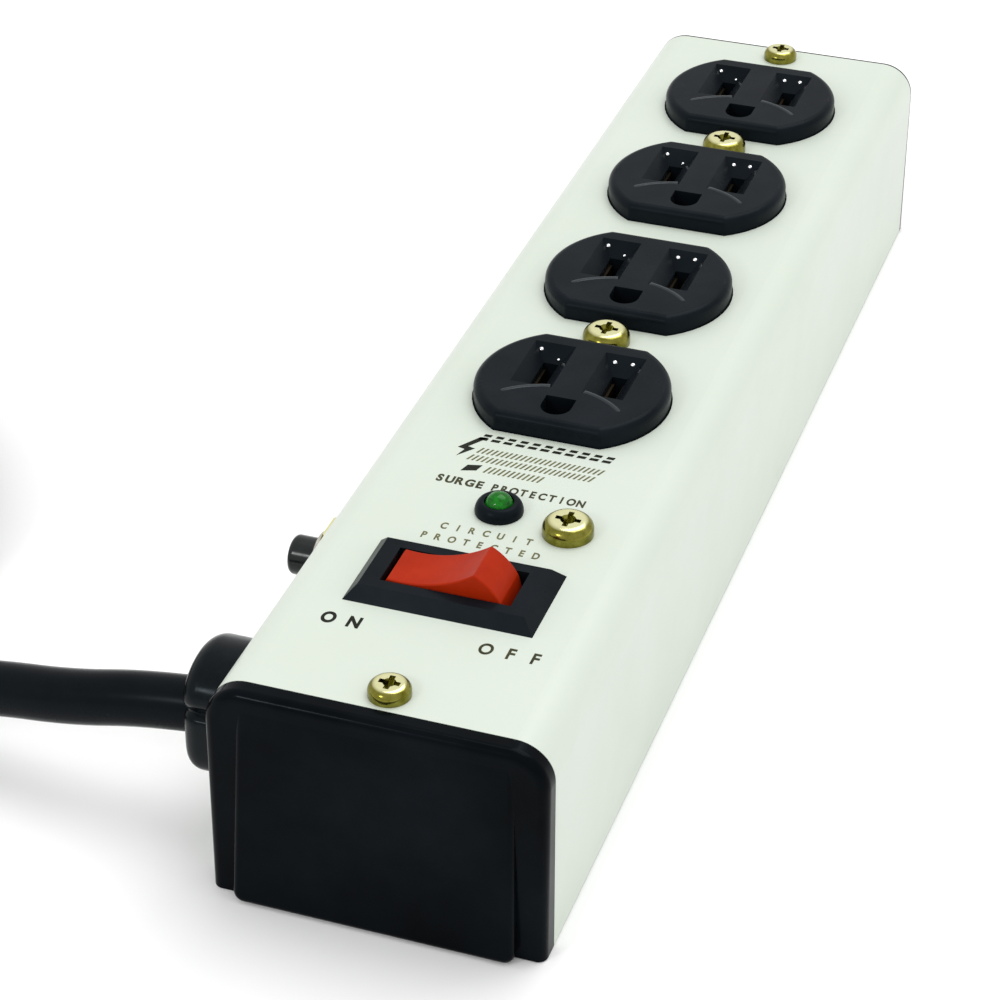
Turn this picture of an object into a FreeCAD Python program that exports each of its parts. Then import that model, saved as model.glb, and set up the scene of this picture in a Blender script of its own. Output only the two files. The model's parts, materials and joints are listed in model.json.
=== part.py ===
import FreeCAD, Part
import math
import os

from FreeCAD import Vector as V

# Surge protector strip with four three-pin outlets, a rocker switch, a pilot lamp,
# a push-to-reset breaker and a mains lead with its plug.
# Millimetres. +X right, +Y back, +Z up. Origin: middle of the underside of the housing.
# The switch end is the front (-Y) and the lead leaves the left side (-X).

# ---- driving dimensions -------------------------------------------------------------
BODY_W = 54.4
BODY_H = 38.2
BODY_L = 236.0
SHEET = 1.2
CORNER_R = 6.2
FIT = 0.1
FRONT = -BODY_L / 2
LEFT = -BODY_W / 2
TOP = BODY_H
ROOF = TOP - SHEET

OUTLET_PITCH = 38.86
DUPLEX_Y = [-7.08, 70.23]
FACE_R = 16.9
FACE_FLAT = 14.1
FACE_CROWN = 1.4
FACE_PROUD = 3.4
FACE_TOP = TOP + FACE_PROUD
BLADE_GAP = 12.7
BLADE_Y = 3.0
GROUND_DROP = 11.9
SLOT_W = 2.7
NEUTRAL_SLOT = 9.4
HOT_SLOT = 8.0
GROUND_HOLE_R = 2.65
FUNNEL_HALF_X = 3.7
FUNNEL_HALF_Y = 7.0
FUNNEL_SHIFT = 0.5
FUNNEL_DEPTH = 2.5

SWITCH_Y = FRONT + 32.4
BEZEL_L = 31.0
BEZEL_W = 17.0
RIM = 2.2
ROCKER_W = 8.6
ROCKER_TILT = 15.0
PIVOT_Z = TOP - 5.0
PIVOT_R = 1.0

LAMP_X = -0.4
LAMP_Y = FRONT + 54.5
LAMP_R = 3.8
LENS_R = 2.35

POST_X = 12.0
POST_Y = FRONT + 52.2
CAP_SCREW_Y = BODY_L / 2 - 4.0
SMALL_HEAD_R = 3.35
LARGE_HEAD_R = 4.2

BREAKER_Y = FRONT + 53.3
BREAKER_Z = 22.6
BUSHING_R = 4.75
BUTTON_R = 3.4
BUTTON_OUT = 9.2

CORD_R = 4.5
CORD_Y = FRONT + 13.5
CORD_Z = 20.3
RELIEF_R = 10.75
RELIEF_FLAT = 8.5
RELIEF_OUT = 7.5

FRONT_CAP_OUT = 3.5
REAR_CAP_OUT = 1.1
RIM_LEAN = 0.9
PANEL_LEAN = 3.4
PANEL_TOP = 35.0
PANEL_FOOT_HALF = 22.9
PANEL_HEAD_HALF = 21.9

KEYHOLE_Y = 62.0
KEYHOLE_HEAD_R = 4.5
KEYHOLE_NECK_R = 2.2
KEYHOLE_RUN = 8.0

TUB_Z = 15.5
TERMINAL_Z = TUB_Z + 11.0
TERMINAL_DY = (4.4, 9.6)
BOARD_Z = 4.9
BOARD_T = 1.6
WIRE_R = 1.3


# ---- basic shapes -------------------------------------------------------------------
def block(x0, x1, y0, y1, z0, z1):
    return Part.makeBox(x1 - x0, y1 - y0, z1 - z0, V(x0, y0, z0))


def rod(x, y, z, r, length, axis=V(0, 0, 1)):
    return Part.makeCylinder(r, length, V(x, y, z), axis)


def join(*shapes):
    whole = shapes[0]
    for shape in shapes[1:]:
        whole = whole.fuse(shape)
    return whole.removeSplitter()


def arc(a, middle, b):
    return Part.Arc(a, middle, b).toShape()


def line(a, b):
    return Part.LineSegment(a, b).toShape()


def prism(edges, direction):
    return Part.Face(Part.Wire(edges)).extrude(direction)


def polygon(points, direction):
    return Part.Face(Part.makePolygon(points + [points[0]])).extrude(direction)


def edges_at(shape, test):
    """The edges whose every vertex passes the test."""
    return [e for e in shape.Edges if all(test(v.Point) for v in e.Vertexes)]


def arch(half_w, height, r, y0, y1, z0=0.0):
    """A bar along Y with a round-shouldered top."""
    k = r * (1 - math.sqrt(0.5))
    a, b = V(-half_w, y0, z0), V(-half_w, y0, height - r)
    c, d = V(-half_w + r, y0, height), V(half_w - r, y0, height)
    e, f = V(half_w, y0, height - r), V(half_w, y0, z0)
    left = arc(b, V(-half_w + k, y0, height - k), c)
    right = arc(d, V(half_w - k, y0, height - k), e)
    return prism([line(a, b), left, line(c, d), right, line(e, f), line(f, a)], V(0, y1 - y0, 0))


def round_box(x0, x1, y0, y1, z0, z1, r):
    """A block with its four upright edges rounded."""
    body = block(x0, x1, y0, y1, z0, z1)
    upright = [e for e in body.Edges if abs(e.tangentAt(e.FirstParameter).z) > 0.9]
    return body.makeFillet(r, upright)


def outlet_outline(y, clear, z0, z1):
    """The round face with two flats, as a bar along Z."""
    disc = rod(0, y, z0, FACE_R + clear, z1 - z0)
    flats = block(-30, 30, y - FACE_FLAT - clear, y + FACE_FLAT + clear, z0, z1)
    return disc.common(flats)


def hexagon(x, y, z, flats, length, axis="z"):
    r = flats / math.sqrt(3)
    corners = [(r * math.cos(k * math.pi / 3), r * math.sin(k * math.pi / 3)) for k in range(6)]
    if axis == "z":
        return polygon([V(x + a, y + b, z) for a, b in corners], V(0, 0, length))
    return polygon([V(x, y + a, z + b) for a, b in corners], V(length, 0, 0))


def bend_radii(points):
    """The tangent arc at each inner point: 0.45 of the shorter run over tan(half the turn)."""
    radii = []
    for a, b, c in zip(points, points[1:], points[2:]):
        turn = (b - a).getAngle(c - b)
        radii.append(0.45 * min((b - a).Length, (c - b).Length) / math.tan(turn / 2))
    return radii


def route_wire(points):
    """Straight runs joined by tangent arcs."""
    edges = []
    start = points[0]
    for a, b, c, radius in zip(points, points[1:], points[2:], bend_radii(points)):
        into, out = (b - a).normalize(), (c - b).normalize()
        turn = into.getAngle(out)
        cut = radius * math.tan(turn / 2)
        p, q = b - into * cut, b + out * cut
        inward = (out - into).normalize()
        middle = b + inward * (radius / math.cos(turn / 2) - radius)
        edges += [line(start, p), arc(p, middle, q)]
        start = q
    edges.append(line(start, points[-1]))
    return Part.Wire(edges)


def cable(points, r):
    """A round cable along the route, from its first point to its last."""
    path = route_wire(points)
    section = Part.Wire(Part.Circle(points[0], points[1] - points[0], r).toShape())
    return path.makePipeShell([section], True, False)


# ---- housing --------------------------------------------------------------------------
def cross_recess(x, y, z, size, depth):
    """A cross-head driver recess below the height z."""
    arms = block(x - size, x + size, y - 0.45, y + 0.45, z - depth, z + 1)
    arms = arms.fuse(block(x - 0.45, x + 0.45, y - size, y + size, z - depth, z + 1))
    return arms.fuse(Part.makeCone(0.5, size * 0.62, depth, V(x, y, z - depth), V(0, 0, 1)))


def pan_screw(x, y, head_r, shank_r, length):
    """A pan-head screw down through the top of the housing."""
    height = head_r * 0.66
    head = rod(x, y, TOP, head_r, height)
    head = head.makeFillet(height * 0.62, edges_at(head, lambda p: p.z > TOP + height / 2))
    shank = rod(x, y, TOP - length, shank_r, length)
    return join(head, shank).cut(cross_recess(x, y, TOP + height, head_r * 0.5, height * 0.62))


def keyhole(y):
    head = rod(0, y, -1, KEYHOLE_HEAD_R, 4)
    neck = block(-KEYHOLE_NECK_R, KEYHOLE_NECK_R, y, y + KEYHOLE_RUN, -1, 3)
    return join(head, neck, rod(0, y + KEYHOLE_RUN, -1, KEYHOLE_NECK_R, 4))


def outlet_centres():
    return [y + k * OUTLET_PITCH / 2 for y in DUPLEX_Y for k in (-1, 1)]


def relief_section(grow, x0, x1):
    """The oblong section that locks the strain relief against turning, along X."""
    disc = rod(x0, CORD_Y, CORD_Z, 7.9 + grow, x1 - x0, V(1, 0, 0))
    flats = block(x0, x1, CORD_Y - 7.0 - grow, CORD_Y + 7.0 + grow, CORD_Z - 9, CORD_Z + 9)
    return disc.common(flats)


def make_housing_shell():
    half = BODY_W / 2
    shell = arch(half, TOP, CORNER_R, FRONT, -FRONT)
    shell = shell.cut(arch(half - SHEET, ROOF, CORNER_R - SHEET, FRONT - 1, -FRONT + 1, -1))
    for y in outlet_centres():
        shell = shell.cut(outlet_outline(y, 0.25, ROOF - 1, TOP + 1))
    shell = shell.cut(block(-13.6, 13.6, SWITCH_Y - 6.3, SWITCH_Y + 6.3, ROOF - 1, TOP + 1))
    shell = shell.cut(rod(LAMP_X, LAMP_Y, ROOF - 1, 3.1, 4))
    shell = shell.cut(rod(POST_X, POST_Y, ROOF - 1, 2.2, 4))
    for y in DUPLEX_Y:
        shell = shell.cut(rod(0, y, ROOF - 1, 2.2, 4))
    for y in (-CAP_SCREW_Y, CAP_SCREW_Y):
        shell = shell.cut(rod(0, y, ROOF - 1, 1.8, 4))
    shell = shell.cut(rod(LEFT - 1, BREAKER_Y, BREAKER_Z, BUSHING_R + 0.15, 4, V(1, 0, 0)))
    return shell.cut(relief_section(0.1, LEFT - 1, LEFT + 3))


def make_base_plate():
    half = BODY_W / 2 - SHEET - FIT
    end = BODY_L / 2 - 0.4
    side = 8.0
    tray = block(-half, half, -end, end, 0, side)
    low = edges_at(tray, lambda p: p.z < 0.01)
    tray = tray.makeFillet(1.6, [e for e in low if abs(e.tangentAt(0).y) > 0.9])
    tray = tray.cut(block(-half + SHEET, half - SHEET, -end - 1, end + 1, SHEET, side + 1))
    notch = 8.0
    for sign in (-1, 1):
        y0, y1 = sorted((sign * (end + 1), sign * (end - notch)))
        tray = tray.cut(block(-half - 1, half + 1, y0, y1, SHEET, side + 1))
    for y in (-KEYHOLE_Y, KEYHOLE_Y):
        tray = tray.cut(keyhole(y))
    return tray.cut(rod(POST_X, POST_Y, -1, 2.5, 4))


def lean_back(shape, foot, z, out):
    """Cuts the front of the shape to a plane that stands out by foot at the floor and by out at height z."""
    slope = (foot - out) / z
    low, high, ahead, side = -1, TOP + 1, FRONT - 20, BODY_W
    corners = [(FRONT - foot + slope * low, low), (FRONT - foot + slope * high, high), (ahead, high), (ahead, low)]
    return shape.cut(polygon([V(-side, y, h) for y, h in corners], V(2 * side, 0, 0)))


def make_cap_panel(out):
    """The middle of a cap's face, narrower at its head, which leans further out towards the floor."""
    foot, head = PANEL_FOOT_HALF, PANEL_HEAD_HALF
    high = PANEL_TOP + 2
    corners = [(-foot, 0), (foot, 0), (head, high), (-head, high)]
    panel = polygon([V(x, FRONT - out - 5, z) for x, z in corners], V(0, 5 + out - 1, 0))
    panel = panel.makeFillet(1.8, [e for e in edges_at(panel, lambda p: p.z < 0.01) if abs(e.tangentAt(0).y) > 0.9])
    panel = lean_back(panel, out + PANEL_LEAN, PANEL_TOP, out + RIM_LEAN * (1 - PANEL_TOP / TOP))
    front = edges_at(panel, lambda p: p.y < FRONT - out + 0.5)
    return panel.makeFillet(1.1, [e for e in front if e.CenterOfMass.z < high - 0.1])


def make_end_cap(out):
    """A cap at the front: a skirt inside the channel, a rim flush with the channel and a leaning panel."""
    half = BODY_W / 2 - SHEET - FIT
    high = ROOF - FIT
    r = CORNER_R - SHEET - FIT
    wall = 2.0
    rim = arch(BODY_W / 2, TOP, CORNER_R, FRONT - out - RIM_LEAN, FRONT - FIT)
    rim = lean_back(rim, out + RIM_LEAN, TOP, out)
    front = edges_at(rim, lambda p: p.y < FRONT - out + 0.01)
    rim = rim.makeFillet(min(1.6, 0.8 * out), [e for e in front if e.CenterOfMass.z > 0.1])
    skirt = arch(half, high, r, FRONT - 0.5, FRONT + 4.0, SHEET + 0.2)
    hollow = arch(half - wall, high - wall, r - wall, FRONT - out + wall, FRONT + 5.0, SHEET + 0.2 + wall)
    boss = block(-4.5, 4.5, FRONT - out + wall - 0.5, FRONT + 9.0, 25.0, high)
    screw = rod(0, -CAP_SCREW_Y, 20, 1.55, 30)
    return join(rim.fuse(skirt).cut(hollow), make_cap_panel(out), boss).cut(screw)


def turned(shape):
    """The same piece at the other end of the housing."""
    copy = shape.copy()
    copy.rotate(V(0, 0, 0), V(0, 0, 1), 180)
    return copy


def make_end_cap_screws():
    front = pan_screw(0, -CAP_SCREW_Y, SMALL_HEAD_R, 1.5, 10.0)
    return [front, turned(front)]


def make_ground_post():
    post = hexagon(POST_X, POST_Y, SHEET + 0.8, 7.0, ROOF - SHEET - 0.8)
    rivet = rod(POST_X, POST_Y, 0.2, 2.45, 2)
    return join(post, rivet).cut(rod(POST_X, POST_Y, ROOF - 12, 1.95, 20))


# ---- outlets ----------------------------------------------------------------------------
def rectangle(x, y, half_x, half_y, z):
    corners = [(-half_x, -half_y), (half_x, -half_y), (half_x, half_y), (-half_x, half_y)]
    points = [V(x + dx, y + dy, z) for dx, dy in corners]
    return Part.makePolygon(points + [points[0]])


def blade_slot(x, y, length):
    """A blade slot at the bottom of its funnel-shaped window."""
    slot = block(x - SLOT_W / 2, x + SLOT_W / 2, y - length / 2, y + length / 2, ROOF - 8, FACE_TOP + 1)
    mouth = rectangle(x, y + FUNNEL_SHIFT, FUNNEL_HALF_X, FUNNEL_HALF_Y, FACE_TOP + 0.01)
    throat = rectangle(x, y, SLOT_W / 2, length / 2, FACE_TOP - FUNNEL_DEPTH)
    return slot.fuse(Part.makeLoft([mouth, throat], True))


def ground_hole(y, z0, z1):
    """A U-shaped hole with its round end away from the blades."""
    r = GROUND_HOLE_R
    return rod(0, y, z0, r, z1 - z0).fuse(block(-r, r, y, y + 2.9, z0, z1))


def make_outlet_cover(middle):
    """Two outlet faces on one moulding, held under the housing's roof."""
    cover = round_box(-18.6, 18.6, middle - 35.6, middle + 35.6, ROOF - 2.6, ROOF - FIT, 3)
    for k in (-1, 1):
        y = middle + k * OUTLET_PITCH / 2
        face = outlet_outline(y, 0, ROOF - 1, FACE_TOP)
        face = face.makeFillet(1.0, [e for e in face.Edges if abs(e.tangentAt(0).z) > 0.9])
        crown = edges_at(face, lambda p: p.z > FACE_TOP - 0.01)
        cover = cover.fuse(face.makeFillet(FACE_CROWN, crown))
    for k in (-1, 1):
        y = middle + k * OUTLET_PITCH / 2
        cover = cover.cut(blade_slot(-BLADE_GAP / 2, y + BLADE_Y, NEUTRAL_SLOT))
        cover = cover.cut(blade_slot(BLADE_GAP / 2, y + BLADE_Y, HOT_SLOT))
        cover = cover.cut(ground_hole(y + BLADE_Y - GROUND_DROP, ROOF - 8, FACE_TOP + 1))
    return cover.cut(rod(0, middle, ROOF - 8, 2.3, 20)).removeSplitter()


def make_outlet_base(middle):
    """The tub that holds the contacts."""
    top = ROOF - 2.7
    tub = round_box(-17, 17, middle - 34, middle + 34, TUB_Z, top, 2)
    tub = tub.cut(block(-15.4, 15.4, middle - 32.4, middle + 32.4, TUB_Z + 1.6, top + 1))
    for side in (-1, 1):
        for dy in TERMINAL_DY:
            tub = tub.cut(rod(side * 15, middle + dy, TERMINAL_Z, 1.5, 3, V(side, 0, 0)))
    return tub.cut(rod(0, middle, TUB_Z - 1, 3.2, 4))


def make_outlet_strap(middle):
    """The steel strap under the tub, turned up at its ends, with its threaded post."""
    strap = block(-6, 6, middle - 35.3, middle + 35.3, TUB_Z - 1.1, TUB_Z - 0.1)
    for k in (-1, 1):
        y0, y1 = sorted((middle + k * 34.2, middle + k * 35.3))
        strap = strap.fuse(block(-6, 6, y0, y1, TUB_Z - 1.1, ROOF - 2.8))
    post = rod(0, middle, TUB_Z - 0.5, 3.0, 16.0)
    return join(strap, post).cut(rod(0, middle, TUB_Z + 4, 1.8, 20))


def blade_clip(x, y, length):
    """Two leaves that grip one blade."""
    z0, z1 = TUB_Z + 6.0, FACE_TOP - 3.6
    y0, y1 = y - length / 2, y + length / 2
    inner, outer = 0.78, 1.26
    leaves = [block(*sorted((x + side * inner, x + side * outer)), y0, y1, z0, z1) for side in (-1, 1)]
    foot = block(x - outer, x + outer, y0, y1, z0 - 0.8, z0)
    return join(leaves[0], leaves[1], foot)


def make_blade_bus(middle, side, length):
    """The bus that joins one side's two clips, with its terminal lug."""
    x = side * BLADE_GAP / 2
    z = TUB_Z + 5.2
    clips = [blade_clip(x, middle + k * OUTLET_PITCH / 2 + BLADE_Y, length) for k in (-1, 1)]
    bar = block(x - 1.4, x + 1.4, middle - 20, middle + 24, z, z + 0.8)
    x0, x1 = sorted((x, side * 15.2))
    lug = block(x0, x1, middle + 2, middle + 12, z, z + 0.8)
    x0, x1 = sorted((side * 14.4, side * 15.2))
    tab = block(x0, x1, middle + 2, middle + 12, z, z + 9)
    return join(bar, clips[0], clips[1], lug, tab)


def make_ground_bus(middle):
    """The earth strip with a clip under each round hole."""
    z = TUB_Z + 1.7
    strip = block(-5, 5, middle - 31, middle + 31, z, z + 0.8)
    strip = strip.cut(rod(0, middle, z - 1, 3.15, 4))
    for k in (-1, 1):
        y = middle + k * OUTLET_PITCH / 2 + BLADE_Y - GROUND_DROP
        for side in (-1, 1):
            x0, x1 = sorted((side * 2.5, side * 3.2))
            strip = strip.fuse(block(x0, x1, y - 2.5, y + 2.5, z, ROOF - 3.4))
    return strip.removeSplitter()


def make_terminal_screws():
    """Binding screws on both sides of each tub."""
    screws = []
    for middle in DUPLEX_Y:
        for side in (-1, 1):
            for dy in TERMINAL_DY:
                axis = V(side, 0, 0)
                shank = rod(side * 15.25, middle + dy, TERMINAL_Z, 1.4, 3.2, axis)
                screws.append(shank.fuse(rod(side * 17.1, middle + dy, TERMINAL_Z, 2.4, 1.5, axis)))
    return screws


def make_outlet_screws():
    return [pan_screw(0, y, LARGE_HEAD_R, 1.7, 14.0) for y in DUPLEX_Y]


# ---- rocker switch ----------------------------------------------------------------------
def at_pivot(x, z):
    return V(x, SWITCH_Y, PIVOT_Z + z)


def make_switch_body():
    """The bezel with its bevelled rim, and the tub under it."""
    rim_top = TOP + RIM
    lower = [V(sx * BEZEL_L / 2, SWITCH_Y + sy * BEZEL_W / 2, TOP) for sx, sy in
             ((-1, -1), (1, -1), (1, 1), (-1, 1))]
    upper = [V(p.x - math.copysign(1.9, p.x), p.y - math.copysign(1.9, p.y - SWITCH_Y), rim_top)
             for p in lower]
    bezel = Part.makeLoft([Part.makePolygon(w + [w[0]]) for w in (lower, upper)], True)
    tub = block(-13.4, 13.4, SWITCH_Y - 6.1, SWITCH_Y + 6.1, TOP - 20, TOP + 0.5)
    body = join(bezel, tub)
    half_y = ROCKER_W / 2 + 0.3
    body = body.cut(block(-10.7, 10.7, SWITCH_Y - half_y, SWITCH_Y + half_y, TOP - 1, rim_top + 1))
    body = body.cut(block(-12.3, 12.3, SWITCH_Y - half_y, SWITCH_Y + half_y, TOP - 18.6, TOP + 0.9))
    pin = rod(0, SWITCH_Y - 5.7, PIVOT_Z, PIVOT_R + 0.02, 11.4, V(0, 1, 0))
    slots = [block(x - 3.25, x + 3.25, SWITCH_Y - 0.5, SWITCH_Y + 0.5, TOP - 21, TOP - 18)
             for x in (0, 8.6)]
    for cutter in [pin] + slots:
        body = body.cut(cutter)
    return body


def rocker_outline(y):
    """The rocker's side view, level, about the pivot: dished top and round ends."""
    peak, dip = (7.35, 9.66), 8.26
    bulge = (9.35, 7.2)
    shoulder, heel = (10.45, 4.4), (10.3, -1.0)
    right = [V(x, y, z) for x, z in (peak, bulge, shoulder, heel)]
    left = [V(-p.x, y, p.z) for p in right]
    return [arc(left[0], V(0, y, dip), right[0]),
            arc(right[0], right[1], right[2]),
            line(right[2], right[3]),
            line(right[3], left[3]),
            line(left[3], left[2]),
            arc(left[2], left[1], left[0])]


def tilted(shape, degrees, pivot=None):
    """Turned about +Y through the rocker's pivot: positive lowers the right-hand end."""
    shape.rotate(pivot or at_pivot(0, 0), V(0, 1, 0), degrees)
    return shape


def make_rocker():
    half = ROCKER_W / 2
    level = prism(rocker_outline(-half), V(0, ROCKER_W, 0))
    level = level.makeFillet(0.3, edges_at(level, lambda p: p.z > 4.3))
    level = level.cut(block(-8.6, 8.6, -half + 1.3, half - 1.3, -2, 5.6))
    stem = rod(0, 0, -3.6, 2.4, 11.0)
    level = join(level, stem, block(-2.2, 2.2, -half + 0.2, half - 0.2, -1.9, 6.5))
    level = level.cut(rod(0, 0, -4, 1.6, 6.6))
    level = level.cut(rod(0, -half - 1, 0, PIVOT_R + 0.05, ROCKER_W + 2, V(0, 1, 0)))
    level.translate(at_pivot(0, 0))
    return tilted(level, -ROCKER_TILT)


def make_rocker_pins():
    """Two stub pins, one each side, so that the spring's bore stays clear."""
    near = rod(0, SWITCH_Y - 5.6, PIVOT_Z, PIVOT_R, 3.6, V(0, 1, 0))
    far = rod(0, SWITCH_Y + 2.0, PIVOT_Z, PIVOT_R, 3.6, V(0, 1, 0))
    return [near, far]


def make_switch_plunger():
    plunger = join(rod(0, 0, -6.6, 1.45, 3.2), Part.makeSphere(1.45, V(0, 0, -6.6)))
    plunger.translate(at_pivot(0, 0))
    return tilted(plunger, -ROCKER_TILT)


def make_switch_spring():
    """The coil spring above the plunger, as a sleeve of its own outer and inner size."""
    sleeve = rod(0, 0, -3.3, 1.3, 5.4).cut(rod(0, 0, -4, 0.8, 8))
    sleeve.translate(at_pivot(0, 0))
    return tilted(sleeve, -ROCKER_TILT)


def make_teeter_contact():
    """The see-saw that the plunger tips, right end down at rest."""
    pivot = at_pivot(0, -9.6)
    arm = block(-9.0, 9.0, SWITCH_Y - 2.6, SWITCH_Y + 2.6, pivot.z + 0.4, pivot.z + 1.1)
    pad = rod(8.0, SWITCH_Y, pivot.z - 0.4, 1.3, 1.0)
    saddle = rod(0, SWITCH_Y - 2.6, pivot.z, 0.9, 5.2, V(0, 1, 0))
    saddle = saddle.cut(block(-2, 2, SWITCH_Y - 3, SWITCH_Y + 3, pivot.z - 2, pivot.z))
    return tilted(join(arm, pad, saddle), 8.0, pivot)


def make_switch_terminals():
    """The middle terminal that carries the see-saw, and the one that it closes on."""
    floor = TOP - 18.6
    seat_top = PIVOT_Z - 9.9
    middle = block(-3.15, 3.15, SWITCH_Y - 0.4, SWITCH_Y + 0.4, TOP - 28, floor + 1)
    seat = block(-1.2, 1.2, SWITCH_Y - 2.6, SWITCH_Y + 2.6, floor, seat_top)
    right = block(5.45, 11.75, SWITCH_Y - 0.4, SWITCH_Y + 0.4, TOP - 28, floor + 0.5)
    anvil = rod(7.9, SWITCH_Y, floor, 1.6, 1.7)
    return [join(middle, seat), join(right, anvil)]


# ---- pilot lamp -------------------------------------------------------------------------
def make_lamp_bezel():
    flange = rod(LAMP_X, LAMP_Y, TOP, LAMP_R, 1.15)
    flange = flange.makeFillet(0.8, edges_at(flange, lambda p: p.z > TOP + 1))
    barrel = rod(LAMP_X, LAMP_Y, TOP - 9, 3.0, 9.5)
    return join(flange, barrel).cut(rod(LAMP_X, LAMP_Y, TOP - 10, LENS_R + 0.05, 14))


def make_lamp_lens():
    lens = rod(LAMP_X, LAMP_Y, TOP - 6, LENS_R, 7.2)
    dome = Part.makeSphere(LENS_R, V(LAMP_X, LAMP_Y, TOP + 1.2))
    lens = join(lens, dome.common(block(-9, 9, LAMP_Y - 9, LAMP_Y + 9, TOP + 1.2, TOP + 9)))
    return lens.cut(rod(LAMP_X, LAMP_Y, TOP - 7, 1.7, 6.8))


def make_lamp_bulb():
    bulb = rod(LAMP_X, LAMP_Y, TOP - 8, 1.6, 6.2)
    return bulb.fuse(Part.makeSphere(1.6, V(LAMP_X, LAMP_Y, TOP - 1.8))).removeSplitter()


def make_lamp_resistor():
    return join(rod(LAMP_X, LAMP_Y, TOP - 16.4, 1.2, 6.3), rod(LAMP_X, LAMP_Y, TOP - 19.4, 0.35, 11.3))


# ---- push-to-reset breaker --------------------------------------------------------------
def make_breaker_body():
    x0 = LEFT + SHEET + FIT
    body = block(x0, x0 + 20, BREAKER_Y - 7.4, BREAKER_Y + 7.4, BREAKER_Z - 8.8, BREAKER_Z + 8.8)
    body = body.makeFillet(1.0, body.Edges)
    return body.cut(rod(x0 - 1, BREAKER_Y, BREAKER_Z, 5.0, 12.0, V(1, 0, 0)))


def make_breaker_bushing():
    outer = LEFT - 4.3
    inner = LEFT + SHEET + FIT
    thread = rod(outer, BREAKER_Y, BREAKER_Z, BUSHING_R, inner + 8 - outer, V(1, 0, 0))
    return thread.cut(rod(outer - 1, BREAKER_Y, BREAKER_Z, BUTTON_R + 0.05, 20, V(1, 0, 0)))


def make_breaker_nut():
    nut = hexagon(LEFT - 2.7, BREAKER_Y, BREAKER_Z, 14.0, 2.6, "x")
    chamfer = Part.makeCone(7.4, 8.6, 2.6, V(LEFT - 2.7, BREAKER_Y, BREAKER_Z), V(1, 0, 0))
    bore = rod(LEFT - 4, BREAKER_Y, BREAKER_Z, BUSHING_R + 0.02, 6, V(1, 0, 0))
    return nut.common(chamfer).cut(bore)


def make_reset_button():
    tip = LEFT - BUTTON_OUT
    button = rod(tip, BREAKER_Y, BREAKER_Z, BUTTON_R, 16.6, V(1, 0, 0))
    edge = edges_at(button, lambda p: abs(p.x - tip) < 0.01)
    return button.makeFillet(0.9, edge)


def make_breaker_terminals():
    x0 = LEFT + SHEET
    z = BREAKER_Z - 8.9
    return [block(x0 + dx, x0 + dx + 0.8, BREAKER_Y - 3.15, BREAKER_Y + 3.15, z - 7.5, z)
            for dx in (5.0, 15.0)]


# ---- mains lead -------------------------------------------------------------------------
COIL_X, COIL_Y = -161.5, -65.4
COIL_R = 46.0
COIL_HALF_W = 13.5
COIL_H = 18.0
TIE_ANGLE = 60.0
TIE_W = 14.0
TIE_T = 1.2
PLUG_BODY = 32.0
PLUG_RELIEF = 20.0

# The lead's way from the strain relief to the coil: out, down to the table and along it.
CORD_ROUTE = [
    (LEFT - RELIEF_OUT, CORD_Y, CORD_Z),
    (-45.0, CORD_Y - 0.5, 19.6),
    (-58.0, CORD_Y - 0.7, 16.5),
    (-73.0, CORD_Y + 0.5, 14.0),
    (-90.0, CORD_Y + 0.6, 10.4),
    (-107.0, CORD_Y - 2.2, 6.9),
    (-124.0, CORD_Y - 7.6, 4.8),
    (-140.0, CORD_Y - 12.4, 4.5),
]

# The lead's end: off the coil's top turn, down beside it and into the plug.
TAIL_ROUTE = [
    (-216.5, -65.4, 13.5),
    (-216.3, -51.0, 13.3),
    (-215.0, -36.0, 12.7),
    (-212.2, -20.5, 11.9),
    (-208.5, -5.5, 11.5),
    (-205.6, 5.0, 11.5),
]


def on_plug(shape):
    """A piece drawn along +X from the plug's rear, put where the lead ends and the way it points."""
    before, rear = V(*TAIL_ROUTE[-2]), V(*TAIL_ROUTE[-1])
    shape.rotate(V(0, 0, 0), V(0, 0, 1), math.degrees(math.atan2(rear.y - before.y, rear.x - before.x)))
    shape.translate(rear)
    return shape


def make_strain_relief():
    """The moulded bushing: a round-shouldered head outside and a grooved body in the wall."""
    face = LEFT - RELIEF_OUT
    head = rod(face, CORD_Y, CORD_Z, RELIEF_R, RELIEF_OUT, V(1, 0, 0))
    flats = block(face, LEFT, CORD_Y - RELIEF_FLAT, CORD_Y + RELIEF_FLAT, 0, TOP)
    head = head.common(flats)
    head = head.makeFillet(2.8, edges_at(head, lambda p: abs(p.x - face) < 0.01))
    neck = relief_section(0, LEFT, LEFT + 13)
    wedge = block(LEFT + SHEET + 0.2, LEFT + 14, CORD_Y - 3.9, CORD_Y + 3.9, CORD_Z + 4, CORD_Z + 9)
    bore = rod(face - 5, CORD_Y, CORD_Z, CORD_R + 0.05, 30, V(1, 0, 0))
    return join(head, neck).cut(wedge).cut(bore)


def make_strain_relief_wedge():
    """The locking half that is pressed down on the lead."""
    body = relief_section(0, LEFT + SHEET + 0.3, LEFT + 13)
    slot = block(LEFT, LEFT + 14, CORD_Y - 3.8, CORD_Y + 3.8, CORD_Z + 4.1, CORD_Z + 9)
    bore = rod(LEFT - 5, CORD_Y, CORD_Z, CORD_R + 0.05, 30, V(1, 0, 0))
    return body.common(slot).cut(bore)


def make_cord_lead():
    """The lead from inside the housing to where the coil begins."""
    route = [V(*p) for p in CORD_ROUTE]
    tube = cable(route, CORD_R)
    length = route_wire(route).Length
    print("lead radii:", [round(r, 1) for r in bend_radii(route)])
    print("lead volume over section times length:",
          round(tube.Volume / (math.pi * CORD_R ** 2 * length), 4), "length", round(length, 1))
    inner_end = LEFT + 14
    inside = rod(route[0].x, CORD_Y, CORD_Z, CORD_R, inner_end - route[0].x, V(1, 0, 0))
    return tube.fuse(inside).removeSplitter()


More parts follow.
